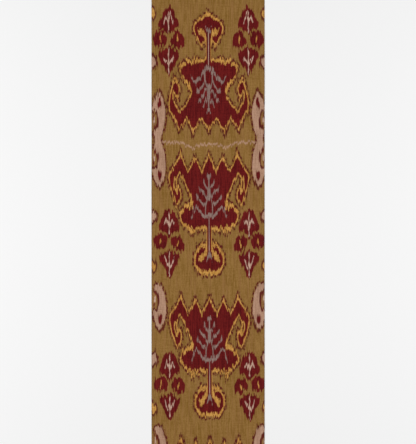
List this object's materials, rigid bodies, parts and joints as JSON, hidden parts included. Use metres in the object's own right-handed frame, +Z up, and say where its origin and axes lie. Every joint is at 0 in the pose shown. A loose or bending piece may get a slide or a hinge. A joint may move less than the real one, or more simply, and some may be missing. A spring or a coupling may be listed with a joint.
{
  "type": "ikat woven cloth",
  "caption": "Flat length of hand-woven warp ikat, a loom width across, gold ground with dark red lobed motifs, side buds and pink paisleys at the selvedges.",
  "frame": {"origin": "under the middle of the sheet, at its underside", "axes": "+Z up out of the face that shows, +Y along the warp towards the end with the upside-down motif, +X along the weft"},
  "size_m": [0.4, 1.6412, 0.0012],
  "materials": {
    "ikat_silk": "warp-faced silk ikat with a soft low sheen"
  },
  "bodies": {
    "root": {"cloth": "ikat_silk"}
  },
  "joints": []
}
